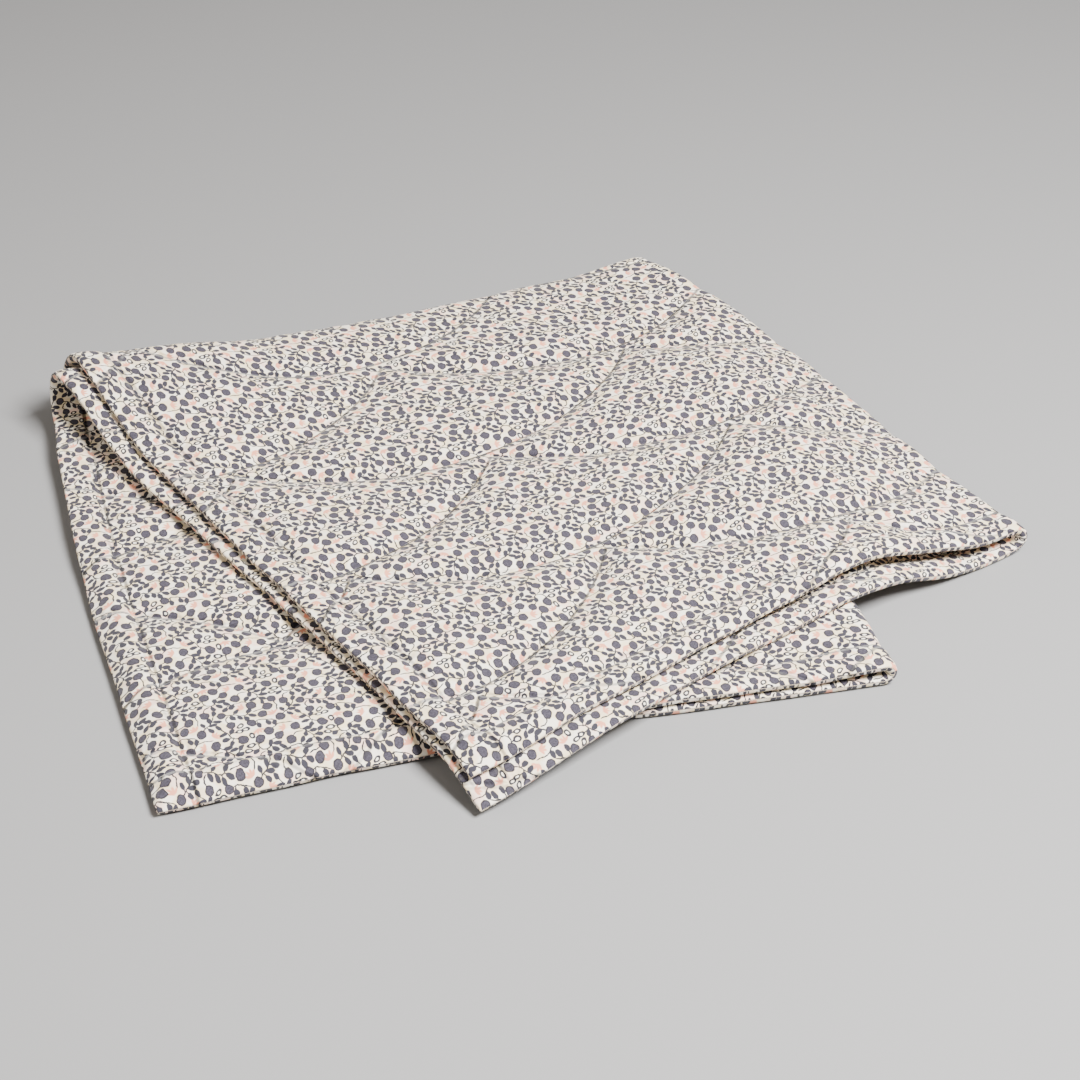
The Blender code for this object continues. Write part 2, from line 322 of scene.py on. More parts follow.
corners = place(np.array([0.0, 0.5 * WIDTH, WIDTH]), np.array([LENGTH, LENGTH, LENGTH]))
print("the top hem's corners in mm:", np.round(corners * 1000.0).tolist())

# %% [markdown]
# ## The quilting
#
# The clamshell seams are arcs of one circle in two staggered sets of rows.  For every point of
# the cloth the distance to the nearest line of each set shapes the puffs, which are rounded
# like pillows: steep beside a seam, flat at the crown.  Where a cusp of one set nearly meets an
# arc of the other, both pull the cloth down and leave a dimple.


# %% Distance to the nearest seam
def seam_line(row, across):
    """Distance from the top hem to a line of quilting, and its slope."""
    start = SCALLOP_START + 0.5 * SCALLOP_WIDTH * ((row + 1) % 2)
    offset = np.mod(across - start + 0.5 * SCALLOP_WIDTH, SCALLOP_WIDTH) - 0.5 * SCALLOP_WIDTH
    drop = np.sqrt(SCALLOP_RADIUS**2 - offset**2)
    return SCALLOP_FIRST + row * SCALLOP_ROW + SCALLOP_RADIUS - drop, offset / drop


def row_phase(parity, across, down):
    """Angle that turns once from row to row of a set, 0 on a seam, and the slope's cosine."""
    line, slope = seam_line(parity, across)
    return math.pi * (LENGTH - down - line) / SCALLOP_ROW, 1.0 / np.sqrt(1.0 + slope * slope)


def off_rows_at(parity, across, down):
    """Distance off the nearest line of one set of scallop rows."""
    phase, upright = row_phase(parity, across, down)
    wound = np.abs(np.arctan2(np.sin(phase), np.cos(phase)))
    return wound * SCALLOP_ROW / math.pi * upright


# %% The thickness of the padding
SEAM_THICK = 0.0022  # thickness on a line of quilting
HEM_THICK = LOFT  # thickness of the turned-in border
EDGE_THICK = 0.0006  # thickness at the very edge
ROLL_REACH = 0.0065  # how far in from the edge the border is rounded
CURL = 0.0014  # how far the very edge stands above the middle of the border
ROLL_POWER = 2.4  # 2 is a half circle, more is squarer
PILLOW = 2.4  # more makes the sides of a puff steeper
PUFF_REACH = 0.034  # how far from a seam a puff takes to rise
STITCH_REACH = 0.7 * PUFF_REACH  # the same inside the edge stitching
HEM_REACH = 0.013  # and outside it
TOP_PUFF = 0.0014  # more room to fill out where nothing lies on the cloth
HEM_STITCH = 0.6  # how deep the edge stitching sinks, beside the quilting


def from_hem(across, down):
    """Distance in from the nearest hem."""
    return np.minimum(np.minimum(across, WIDTH - across), np.minimum(down, LENGTH - down))


def arch(distance, reach):
    """0 on a seam, rising like the side of a pillow to 1 at the reach."""
    return 1.0 - (1.0 - np.clip(distance / reach, 0.0, 1.0)) ** PILLOW


def rise(across, down):
    """How far the padding fills out: nothing on a seam, 1 where it is free."""
    in_from_stitch = from_hem(across, down) - BORDER
    puffs = arch(off_rows_at(0, across, down), PUFF_REACH)
    puffs = puffs * arch(off_rows_at(1, across, down), PUFF_REACH)
    border = np.where(in_from_stitch < 0.0, HEM_REACH, STITCH_REACH)
    border = 1.0 - HEM_STITCH * (1.0 - arch(np.abs(in_from_stitch), border))
    return np.where(in_from_stitch < 0.0, 1.0, puffs) * border


def thickness(across, down):
    """Puffs between the seams, and a full border outside the edge stitching."""
    return SEAM_THICK + (LOFT - SEAM_THICK) * rise(across, down)


def half_roll(across, down):
    """Half the height that the rounded edge leaves open, least right at the hem."""
    share = np.clip(from_hem(across, down) / ROLL_REACH, 0.0, 1.0)
    height = (1.0 - (1.0 - share) ** ROLL_POWER) ** (1.0 / ROLL_POWER)
    return 0.5 * (EDGE_THICK + (HEM_THICK - EDGE_THICK) * height)


# %% [markdown]
# ## The skin
#
# The cloth has an outer face and an inner one, a padding's thickness apart.  A grid of flat
# positions is carried to its folded place twice, once for each face, and the two are joined
# around the hem, so the quilt is one closed body.  Lying on its lower layers, it puffs upward:
# a seam sinks the face that looks up and leaves the one that is pressed flat.  Around a fold
# the cloth is taut, so its seams hardly sink, and the flap on top fills out a little more.


# %% What hands and washing do to the cloth
LUMPS = ((0.055, 0.085, 3), (0.030, 0.036, 4))  # share of the height, size in metres, seed
WAVE = 0.0016  # how far a hem is drawn in
WAVE_REACH = 0.050  # how far in from the hem that is felt
SHORT_WAVES = 0.030
LONG_WAVES = 0.110
TAUT = 0.65  # how far a fold draws its seams flat
TAUT_BACK_GROWS = (-0.08, 0.07)  # distances past the back fold line
TAUT_BACK_FADES = (0.06, 0.09)
TAUT_SIDE_FADES = (0.015, 0.07)  # distance from the side fold
FREE_SPAN = (0.04, 0.08)  # distance past the back fold line


def uneven(points):
    """Let the stack rise and sink a little, all layers together, flat on the ground."""
    x, y = points[..., 0], points[..., 1]
    lift = sum(share * soft_noise(x, y, size, seed) for share, size, seed in LUMPS)
    points = points.copy()
    points[..., 2] *= 1.0 + lift
    return points


def wavy(across, down):
    """Draw the hems in and let them out a little, as stitching by hand and washing do."""
    pulls = []
    for along, edge, length, seed in ((down, across, WIDTH, 11), (across, down, LENGTH, 12)):
        near = (1.0 - ease(edge / WAVE_REACH), 1.0 - ease((length - edge) / WAVE_REACH))
        short = [soft_noise(along, 0.0 * along, SHORT_WAVES, seed + more) for more in (0, 2)]
        long = [soft_noise(along, 0.0 * along, LONG_WAVES, seed + more) for more in (4, 6)]
        inward = [WAVE * (1.0 + 0.5 * a + 0.5 * b) for a, b in zip(short, long)]
        pulls.append(near[0] * inward[0] - near[1] * inward[1])
    return across + pulls[0], down + pulls[1]


def taut(across, down):
    """1 where the cloth bends around a fold, 0 where it lies flat."""
    strip, _, _, _ = cross_fold(across, down)
    past, _ = fold_run(strip, down)
    back = grows(past, TAUT_BACK_GROWS) * fades_out(past, TAUT_BACK_FADES)
    side = fades_out(np.abs(across - 0.5 * WIDTH), TAUT_SIDE_FADES)
    return np.maximum(back, side)


def free_top(across, down):
    """1 on the flap that lies on top, 0 on the layers inside the stack."""
    strip, outer, _, _ = cross_fold(across, down)
    past, _ = fold_run(strip, down)
    return outer * grows(past, FREE_SPAN)


# %% Both faces of the cloth
def skin(across, down):
    """Points of the outer and the inner face."""
    step = 0.0004  # half the distance over which the cloth's slope is measured
    drawn, pulled = wavy(across, down)
    middle = place(drawn, pulled)
    over_across = place(drawn + step, pulled) - place(drawn - step, pulled)
    over_down = place(drawn, pulled + step) - place(drawn, pulled - step)
    normal = np.cross(over_down, over_across)
    normal /= np.linalg.norm(normal, axis=-1, keepdims=True)
    slack_here = 1.0 - TAUT * taut(across, down)
    sunk = ((LOFT - thickness(across, down)) * slack_here)[..., None]
    puff = TOP_PUFF * (rise(across, down) * slack_here * free_top(across, down))[..., None]
    upward = ease(0.5 + 0.5 * normal[..., 2:])
    roll = half_roll(across, down)[..., None]
    curl = CURL * (1.0 - 2.0 * roll / HEM_THICK) * (2.0 * upward - 1.0)
    in_roll = from_hem(across, down)[..., None] < ROLL_REACH
    over = 0.5 * LOFT - sunk * upward + puff
    under = 0.5 * LOFT - sunk * (1.0 - upward)
    outer = middle + normal * np.where(in_roll, np.minimum(over, roll + curl), over)
    inner = middle - normal * np.where(in_roll, np.minimum(under, roll - curl), under)
    return uneven(outer), uneven(inner)


# %% The grid's columns, dense at the hems and around the side fold
def stepped(table):
    """Positions from rows of (end, step), starting at 0."""
    values = [0.0]
    for end, step in table:
        start = values[-1]
        count = max(1, round((end - start) / step))
        values += [start + (end - start) * index / count for index in range(1, count + 1)]
    return np.array(values)


# columns: where a strip ends, and its step
EDGE_TABLE = ((0.0003, 0.0003), (0.0015, 0.0006), (0.006, 0.0015), (BORDER, 0.0030))
WIDE_STEP = 0.0055
LOOP_STEP = 0.0016
LOOP_HALF = 0.024  # half of the strip that bends around the side fold
cusps = [SCALLOP_START + 0.5 * SCALLOP_WIDTH * number for number in range(6)]
edge_starts = [0.0] + [end for end, step in EDGE_TABLE[:-1]]
across_table = EDGE_TABLE + tuple((cusp, WIDE_STEP) for cusp in cusps[:3])
across_table += ((0.5 * WIDTH - LOOP_HALF, WIDE_STEP), (0.5 * WIDTH + LOOP_HALF, LOOP_STEP))
across_table += tuple((cusp, WIDE_STEP) for cusp in cusps[3:]) + ((WIDTH - BORDER, WIDE_STEP),)
across_table += tuple(
    (WIDTH - start, step) for start, (_, step) in zip(edge_starts[::-1], EDGE_TABLE[::-1])
)
columns = stepped(across_table)
print("columns:", len(columns))

# %% The grid's rows, which follow the seams
LEAST_STEP = 0.00012
GAP_STEPS = 12  # grid rows from one seam to the next
FOLD_GAPS = (5, 6, 7)  # gaps between seams that bend around the back fold
FOLD_GAP_STEPS = 20
CROWDING = 0.085  # draws the rows towards the seams


def rows_on_seams(across):
    """Distances from the top hem on and between the seams, one row of them per column."""
    levels = []
    for row in range(-1, SCALLOP_ROWS):
        line, _ = seam_line(row, across)
        following, _ = seam_line(row + 1, across)
        count = FOLD_GAP_STEPS if row in FOLD_GAPS else GAP_STEPS
        for step in range(count):
            share = step / count
            share -= CROWDING * math.sin(2.0 * math.pi * share)
            levels.append(line + (following - line) * share)
    levels = np.stack(levels, axis=1)
    order = np.arange(levels.shape[1])
    least = BORDER + LEAST_STEP * (order + 1)
    most = LENGTH - BORDER - LEAST_STEP * (levels.shape[1] - order)
    inside = (levels.max(axis=0) > BORDER) & (levels.min(axis=0) < LENGTH - BORDER)
    return np.clip(levels, least, most)[:, inside]


quilted = rows_on_seams(columns)
hem = stepped(EDGE_TABLE)
hem_rows = np.broadcast_to(hem, (len(columns), len(hem)))
from_top = np.concatenate([hem_rows, quilted, LENGTH - hem_rows[:, ::-1]], axis=1)
down_grid = LENGTH - from_top[:, ::-1]
across_grid = np.broadcast_to(columns[:, None], down_grid.shape)
print("grid:", down_grid.shape[0], "by", down_grid.shape[1])


# %% Join the two faces into one closed cloth
def closed_cloth(name, outer, inner):
    """A mesh of two point grids joined along their borders."""
    across_count, down_count = outer.shape[:2]
    numbers = np.arange(across_count * down_count).reshape(across_count, down_count)
    quads = np.stack([numbers[:-1, :-1], numbers[:-1, 1:], numbers[1:, 1:], numbers[1:, :-1]], -1)
    quads = quads.reshape(-1, 4)
    under = numbers.size
    rim = np.concatenate([numbers[:-1, 0], numbers[-1, :-1], numbers[:0:-1, -1], numbers[0, :0:-1]])
    after = np.roll(rim, -1)
    wall = np.stack([rim, after, after + under, rim + under], -1)
    faces = np.concatenate([quads, quads[:, ::-1] + under, wall])
    points = np.concatenate([outer.reshape(-1, 3), inner.reshape(-1, 3)])
    mesh = bpy.data.meshes.new(name)
    mesh.from_pydata(points.tolist(), [], faces.tolist())
    mesh.shade_smooth()
    piece = bpy.data.objects.new(name, mesh)
    bpy.context.collection.objects.link(piece)
    return piece


outer, inner = skin(across_grid, down_grid)
both = np.concatenate([outer.reshape(-1, 3), inner.reshape(-1, 3)])
shift = 0.5 * (cad_low + cad_high) - 0.5 * (both.min(axis=0) + both.max(axis=0))
shift[2] = cad_low[2] - both[:, 2].min()
quilt = closed_cloth("quilt_cloth", outer + shift, inner + shift)
print("triangles:", 2 * len(quilt.data.polygons), "moved by mm:", np.round(shift * 1000.0, 2))

# %% Give every point its place on the flat cloth and among the seams
INNER_START = 1.7  # the inner face is a second length of the same print, laid the other way
INNER_DROP = 0.013


def map_cloth(piece):
    """UV map in metres of flat cloth, the inner face turned over, and places among seams."""
    mesh = piece.data
    across, down = across_grid.ravel(), down_grid.ravel()
    flat = np.concatenate(
        [np.stack([across, down], -1), np.stack([INNER_START - across, down + INNER_DROP], -1)]
    )
    corners_of = np.empty(len(mesh.loops), dtype=np.int32)
    mesh.loops.foreach_get("vertex_index", corners_of)
    layer = mesh.uv_layers.new(name="flat_cloth")
    layer.uv.foreach_set("vector", flat[corners_of].astype(np.float32).ravel())
    fields = {"cloth_place": np.stack([across, down, 0.0 * down], -1)}
    for parity, name in ((0, "even_rows"), (1, "odd_rows")):
        phase, upright = row_phase(parity, across, down)
        fields[name] = np.stack([np.sin(phase), np.cos(phase), upright], -1)
    sides = np.minimum(across, WIDTH - across), np.minimum(down, LENGTH - down), 0.0 * down
    fields["from_hems"] = np.stack(sides, -1)
    for name, values in fields.items():
        attribute = mesh.attributes.new(name, "FLOAT_VECTOR", "POINT")
        attribute.data.foreach_set("vector", np.tile(values, (2, 1)).astype(np.float32).ravel())


map_cloth(quilt)
maps = [field.name for field in quilt.data.attributes if not field.name.startswith(".")]
print("maps on the cloth:", maps)

# %% [markdown]
# ## The printed cotton
#
# The cloth is plain-weave cotton, about 60 threads to the inch, roller-printed in a few colours:
# round slate leaves, small darker leaves on fine stems, leaves in outline, and peach blossoms.
# Its cream ground drifts softly to a warmer cream and to a pale blush.  Cotton is matte, with a
# little fuzz that lightens its edges.
#
# The print is a scatter of strokes on a square that repeats like bricks: each row of squares
# stands half a square aside, which hides the repeat.  A seeded dart throw works it out: a lone
# leaf takes the roomiest of several random spots, and stems grow towards open ground.

# %% Colours and a helper that adds a node
CREAM = "#F0EADD"
WARM_CREAM = "#E8D8B6"
BLUSH = "#EFD3C4"
SLATE = "#35323C"
SLATE_PALE = "#44414D"
SLATE_RIM = "#26242B"
SMALL_SLATE = "#32313A"
STEM = "#2A2A31"
PEACH = "#DC957C"


def linear(hex_code):
    """Linear RGBA of an sRGB hex colour."""
    channels = [int(hex_code[index : index + 2], 16) / 255.0 for index in (1, 3, 5)]
    low = [channel / 12.92 for channel in channels]
    high = [((channel + 0.055) / 1.055) ** 2.4 for channel in channels]
    picked = [a if c <= 0.04045 else b for a, b, c in zip(low, high, channels)]
    return (*picked, 1.0)


def add_node(tree, kind, inputs=(), output=0, **settings):
    """Add a shader node, set it up, link or fill its inputs, and give one of its outputs."""
    node = tree.nodes.new("ShaderNode" + kind)
    for name, value in settings.items():
        setattr(node, name, value)
    for socket, value in dict(inputs).items():
        if isinstance(value, bpy.types.NodeSocket):
            tree.links.new(value, node.inputs[socket])
        else:
            node.inputs[socket].default_value = value
    return node.outputs[output]


print("cream in linear light:", np.round(linear(CREAM), 3))

# %% The repeating square, and distances on it
REPEAT = 48.0  # side of the printed square in mm


def shortest_step(one, other):
    """Shortest way between two places; each row of repeats stands half a repeat aside."""
    across, up = other[0] - one[0], other[1] - one[1]
    steps = []
    for row in (math.floor(up / REPEAT), math.floor(up / REPEAT) + 1):
        moved = across + 0.5 * REPEAT * (1 - row)
        steps.append((moved % REPEAT - 0.5 * REPEAT, up - REPEAT * row))
    return min(steps, key=lambda step: math.hypot(*step))


def on_square(x, y):
    """The same place of the print on the first repeat."""
    row = math.floor(y / REPEAT)
    return (x - 0.5 * REPEAT * row) % REPEAT, y - REPEAT * row


def onward(spot, way, distance):
    """The place at a distance from a spot, in the direction of an angle."""
    return (spot[0] + distance * math.cos(way), spot[1] + distance * math.sin(way))


def apart(one, other):
    """Distance between two places on the repeating print."""
    return math.hypot(*shortest_step(one, other))


def slack(placed, spot, room):
    """How far the nearest placed thing is beyond this room."""
    return min((apart(spot, other[:2]) - other[2] - room for other in placed), default=REPEAT)


def roomy_spot(dice, placed, room, tries):
    """The spot of several random ones that has the most room around it."""
    spots = [tuple(spot) for spot in dice.uniform(0.0, REPEAT, (tries, 2))]
    return max(spots, key=lambda spot: slack(placed, spot, room))


print("repeats across the cloth:", round(WIDTH * 1000.0 / REPEAT, 1))

# %% The strokes: leaves and straight pieces of stem, in mm
# kind: half length, half width, and the room that it keeps around its middle
LEAVES = {
    "round_leaf": (3.65, 3.1, 3.45),
    "small_leaf": (2.6, 1.62, 1.85),
    "open_leaf": (2.9, 1.8, 2.0),
    "blossom": (3.4, 3.4, 2.8),
}
LEAF_SIZES = (0.88, 1.08)  # smallest and largest, in shares of that size
STEM_HALF_WIDTH = 0.43
STEM_ROOM = 0.7
STEM_OVERRUN = 0.8  # how far a piece of stem runs on past either end


def add_leaf(dice, placed, strokes, kind, spot, turn):
    """Lay one leaf or blossom down and keep its room."""
    half_length, half_width, room = LEAVES[kind]
    size = dice.uniform(*LEAF_SIZES)
    placed.append((*spot, room * size))
    strokes.append((kind, *spot, turn, half_length * size, half_width * size))


def add_stem(placed, strokes, start, end):
    """A straight piece of stem."""
    across, up = end[0] - start[0], end[1] - start[1]
    middle = (start[0] + 0.5 * across, start[1] + 0.5 * up)
    half = 0.5 * math.hypot(across, up) + STEM_OVERRUN
    placed.append((*middle, STEM_ROOM))
    strokes.append(("stem", *middle, math.atan2(up, across), half, STEM_HALF_WIDTH))


# %% Stems that grow from the round leaves; lengths in mm, turns in radians
STEM_STEP = 2.2
STEM_STEPS = 6  # most pieces in one stem
LOOK_AHEAD = 1.6 * STEM_STEP
STEM_START = 2.8  # from the round leaf's middle
FIRST_WAYS = 5  # ways that a stem tries at its start
NEXT_TURNS = (-0.35, 0.0, 0.35)  # and at each step, beside its own curl
STEM_CURL = 0.22
STALK = 0.9  # from the stem to the foot of a small leaf
END_LEANS = (-0.9, 0.0, 0.9)  # of the leaves at a stem's end
SIDE_LEAN = 0.95  # of the leaves along it
LEAN_VARIES = 0.2
LEAF_SQUEEZE = 0.55  # how far a small leaf may reach into another's room
FAR_LEAF = 6.0  # longest stalk that joins a lone leaf to a stem


def freest_way(placed, spot, ways):
    """The way, of a few, that leads furthest from everything that is printed so far."""

    def freedom(way):
        return slack(placed, onward(spot, way, LOOK_AHEAD), STEM_ROOM)

    return max(ways, key=freedom)


def grow_stem(dice, placed, strokes, foot):
    """A curving stem from a round leaf, with small leaves on both sides and at its end."""
    others = [other for other in placed if other[:2] != foot]
    heading = freest_way(others, foot, dice.uniform(0.0, 2.0 * math.pi, FIRST_WAYS))
    curl = dice.choice((-STEM_CURL, STEM_CURL))
    side = dice.choice((-1.0, 1.0))
    spot = onward(foot, heading, STEM_START)
    reach = LEAVES["small_leaf"][0] + STALK
    path = []
    for _ in range(STEM_STEPS):
        end = onward(spot, heading, STEM_STEP)
        if slack(others, end, STEM_ROOM) < 0.0:
            break
        add_stem(placed, strokes, spot, end)
        path.append((end, heading))
        heading = freest_way(others, end, [heading + curl + turn for turn in NEXT_TURNS])
        spot = end
    for end, heading in path:
        last = end == path[-1][0]
        for lean in END_LEANS if last else (SIDE_LEAN * side,):
            way = heading + lean + dice.uniform(-LEAN_VARIES, LEAN_VARIES)
            leaf = onward(end, way, reach)
            if slack(placed, leaf, LEAVES["small_leaf"][2]) > -LEAF_SQUEEZE:
                add_leaf(dice, placed, strokes, "small_leaf", leaf, way)
                add_stem(placed, strokes, end, leaf)
        side = -side


def join_to_stem(placed, strokes, spot):
    """Turn a lone leaf to the nearest stem, with a stalk between where that is near."""
    stems = [stroke for stroke in strokes if stroke[0] == "stem"]
    nearest = min(stems, key=lambda stem: apart(spot, stem[1:3]))
    step = shortest_step(spot, nearest[1:3])
    if math.hypot(*step) < FAR_LEAF:
        add_stem(placed, strokes, spot, (spot[0] + step[0], spot[1] + step[1]))
    return math.atan2(step[1], step[0])


# %% Lay the whole print out
# kind, and the most of it in the repeat; stems grow once the round leaves and blossoms lie
COUNTS = (("round_leaf", 15), ("blossom", 5), ("open_leaf", 6), ("small_leaf", 52))
LARGE_KINDS = ("round_leaf", "blossom")  # laid until all are there, the rest while room lasts
LARGE_TRIES = 5  # random spots that each of them chooses from
SMALL_TRIES = 60  # the same for the other kinds
SQUEEZE = 0.3  # mm that all but the round leaves may reach into another's room
ROUND_LEAN = 0.45  # radians that a round leaf leans off upright, at most


def lay_out_print(seed):
    """Every stroke of the repeat, as (kind, x, y, turn, half length, half width)."""
    dice = np.random.default_rng(seed)
    placed = []
    strokes = []
    for kind, count in COUNTS:
        room = LEAVES[kind][2]
        large = kind in LARGE_KINDS
        tries = LARGE_TRIES if large else SMALL_TRIES
        least = 0.0 if kind == "round_leaf" else -SQUEEZE
        while sum(stroke[0] == kind for stroke in strokes) < count:
            spot = roomy_spot(dice, placed, room, tries)
            if slack(placed, spot, room) < least:
                if large:
                    continue
                break
            turn = dice.uniform(0.0, 2.0 * math.pi)
            if kind == "round_leaf":
                turn = 0.5 * math.pi + dice.uniform(-ROUND_LEAN, ROUND_LEAN)
            if not large:
                turn = join_to_stem(placed, strokes, spot)
            add_leaf(dice, placed, strokes, kind, spot, turn)
        if kind == "blossom":
            for leaf in [stroke for stroke in strokes if stroke[0] == "round_leaf"]:
                grow_stem(dice, placed, strokes, leaf[1:3])
    return [(kind, *on_square(x, y), *rest) for kind, x, y, *rest in strokes]


strokes = lay_out_print(6)  # the evenest of sixty seeds
for kind in ("round_leaf", "small_leaf", "open_leaf", "blossom", "stem"):
    print(kind, sum(stroke[0] == kind for stroke in strokes))

# %% [markdown]
# A blossom is four strokes that fan from one foot.  The round leaves are inked twice, a
# lighter slate inside a darker outline.  An open leaf is printed as its outline only.

# %% Open the blossoms into petals
PETAL_SPREADS = (-1.05, -0.35, 0.35, 1.05)  # radians off the blossom's own way
PETAL_FOOT = 1.2  # mm from the blossom's middle back to the foot of its petals
PETAL_MIDDLE = 1.9  # and from that foot to the middle of a petal
PETAL_HALF = (2.4, 0.85)  # half length and half width of a petal


def fan_blossoms(laid_out):
    """Replace each blossom by its petals."""
    result = []
    for stroke in laid_out:
        kind, x, y, turn, *_ = stroke
        if kind != "blossom":
            result.append(stroke)
            continue
        foot = onward((x, y), turn, -PETAL_FOOT)
        for spread in PETAL_SPREADS:
            petal = on_square(*onward(foot, turn + spread, PETAL_MIDDLE))
            result.append(("petal", *petal, turn + spread, *PETAL_HALF))
    return result


strokes = fan_blossoms(strokes)
print("petals:", sum(stroke[0] == "petal" for stroke in strokes))

# %% Cloth coordinates in millimetres, with the wobble of a printed line
WOBBLE = 1.7  # mm from one side to the other, at most
WOBBLE_LUMPS = 0.30  # lumps of it to a mm


def cloth_coordinates(tree):
    """Flat cloth position in mm: plain, and wobbled and wrapped onto the repeating square."""
    flat = add_node(tree, "UVMap", uv_map="flat_cloth")
    scaled = add_node(tree, "VectorMath", {0: flat, 3: 1000.0}, operation="SCALE")
    wobble = {"Vector": scaled, "Scale": WOBBLE_LUMPS, "Detail": 1.5}
    wobble = add_node(tree, "TexNoise", wobble, output="Color")
    centred = {0: wobble, 1: (0.5, 0.5, 0.5)}
    centred = add_node(tree, "VectorMath", centred, operation="SUBTRACT")
    moved = {0: centred, 1: (WOBBLE, WOBBLE, 0.0), 2: scaled}
    moved = add_node(tree, "VectorMath", moved, operation="MULTIPLY_ADD")
    up = add_node(tree, "SeparateXYZ", {0: moved}, output="Y")
    rows = add_node(tree, "Math", {0: up, 1: 1.0 / REPEAT}, operation="MULTIPLY")
    row = add_node(tree, "Math", {0: rows}, operation="FLOOR")
    aside = add_node(tree, "Math", {0: row, 1: -0.5 * REPEAT}, operation="MULTIPLY")
    aside = add_node(tree, "CombineXYZ", {"X": aside})
    moved = add_node(tree, "VectorMath", {0: moved, 1: aside}, operation="ADD")
    wrap = {0: moved, 1: (REPEAT, REPEAT, 1.0), 2: (0.0, 0.0, 0.0)}
    wrapped = add_node(tree, "VectorMath", wrap, operation="WRAP")
    return scaled, add_node(tree, "Mapping", {"Vector": wrapped})


# %% One field for each kind of stroke: 0 at a stroke's middle, 1 at its edge
FIELD_REACH = 1.3  # how far out a stroke's field goes on, in parts of its half size
COPY_MARGIN = 0.5  # mm added to a stroke's reach over the square's border


def repeats_of(stroke):
    """The stroke, and its copies that reach in over the borders of the repeat."""
    _, x, y, turn, half_length, half_width = stroke
    reach = half_length + COPY_MARGIN
    for row in (-1, 0, 1):
        for column in (-1, 0, 1):
            right = x + (column + 0.5 * row) * REPEAT
            up = y + row * REPEAT
            if -reach < right < REPEAT + reach and -reach < up < REPEAT + reach:
                yield right, up, turn, half_length, half_width


def stroke_field(tree, on_repeat, kind):
    """The least stretched distance to any stroke of the kind."""
    field = None
    for stroke in strokes:
        if stroke[0] != kind:
            continue
        for x, y, turn, half_length, half_width in repeats_of(stroke):
            ball = add_node(
                tree, "TexGradient", {"Vector": on_repeat}, output="Fac", gradient_type="SPHERICAL"
            )
            mapping = ball.node.texture_mapping
            mapping.vector_type = "TEXTURE"
            mapping.translation = (x, y, 0.0)
            mapping.rotation = (0.0, 0.0, turn)
            mapping.scale = (half_length * FIELD_REACH, half_width * FIELD_REACH, 1.0)
            if field is None:
                field = ball
            else:
                field = add_node(tree, "Math", {0: field, 1: ball}, operation="MAXIMUM")
    return add_node(tree, "MapRange", {0: field, 1: 0.0, 2: 1.0, 3: FIELD_REACH, 4: 0.0})


# %% Ink: where a colour goes, and how it covers what is below it
def falls(tree, value, start, end, height=1.0):
    """The height where the value is under the start, falling softly to 0 at the end."""
    settings = {0: value, 1: start, 2: end, 3: height, 4: 0.0}
    return add_node(tree, "MapRange", settings, interpolation_type="SMOOTHSTEP")


def inked(tree, field, edge, softness):
    """1 where the field is under the edge, with a soft border."""
    return falls(tree, field, edge - softness, edge + softness)


def patches(tree, place_on_cloth, lumps, detail, edge, softness):
    """1 in soft patches, where noise with so many lumps to a mm is under the edge."""
    noise = {"Vector": place_on_cloth, "Scale": lumps, "Detail": detail}
    return inked(tree, add_node(tree, "TexNoise", noise), edge, softness)


def over_print(tree, below, colour, mask):
    """Print a colour over what is below, where the mask is 1."""
    return add_node(tree, "Mix", {0: mask, 6: below, 7: colour}, output=2, data_type="RGBA")


# %% [markdown]
# Threads, stitching grooves and the puckers beside them are too fine for the mesh, so they are
# bumps.  Grooves and puckers use the distances off the seams that shaped the puffs, and so
# they lie where those do.

# %% The fine relief, in mm
THREADS = 0.8  # between threads: really 0.42, drawn coarser so that it shows at all
WAVE_PERIOD = 0.314  # between the crests of a wave texture whose scale is 1
WEAVE_DEPTH = 0.12
GROOVE_REACH = 3.2  # how far from a seam its groove takes to rise
GROOVE_DEPTH = 2.8
PUCKER_PITCH = 7.0
PUCKER_LENGTH = 26.0
PUCKER_REACH = 15.0  # how far from a seam the puckers die out
PUCKER_HEIGHT = 5.0
SWELL_SIZE = 32.0
SWELL_HEIGHT = 1.6


def off_rows(tree, name):
    """Distance in mm off the nearest of one set of scallop rows."""
    field = add_node(tree, "Attribute", output="Vector", attribute_name=name)
    sine, cosine, upright = add_node(tree, "SeparateXYZ", {0: field}).node.outputs
    wound = add_node(tree, "Math", {0: sine, 1: cosine}, operation="ARCTAN2")
    wound = add_node(tree, "Math", {0: wound}, operation="ABSOLUTE")
    wound = add_node(tree, "Math", {0: wound, 1: upright}, operation="MULTIPLY")
    scaled = {0: wound, 1: 1000.0 * SCALLOP_ROW / math.pi}
    return add_node(tree, "Math", scaled, operation="MULTIPLY")


def off_hem_stitch(tree, in_from_hem):
    """Distance in mm off the stitching that runs along a hem."""
    scaled = {0: in_from_hem, 1: 1000.0, 2: -1000.0 * BORDER}
    signed = add_node(tree, "Math", scaled, operation="MULTIPLY_ADD")
    return add_node(tree, "Math", {0: signed}, operation="ABSOLUTE")


def ripples(tree, place_on_cloth, pitch, length, turned, strength):
    """Ripples of a pitch one way and a length the other, as high as the strength."""
    across, along = 1000.0 / pitch, 1000.0 / length
    scale = (along, across, 1.0) if turned else (across, along, 1.0)
    stretched = add_node(tree, "Mapping", {"Vector": place_on_cloth, "Scale": scale})
    noise = add_node(tree, "TexNoise", {"Vector": stretched, "Scale": 1.0, "Detail": 1.0})
    centred = add_node(tree, "Math", {0: noise, 1: 0.5}, operation="SUBTRACT")
    return add_node(tree, "Math", {0: centred, 1: strength}, operation="MULTIPLY")


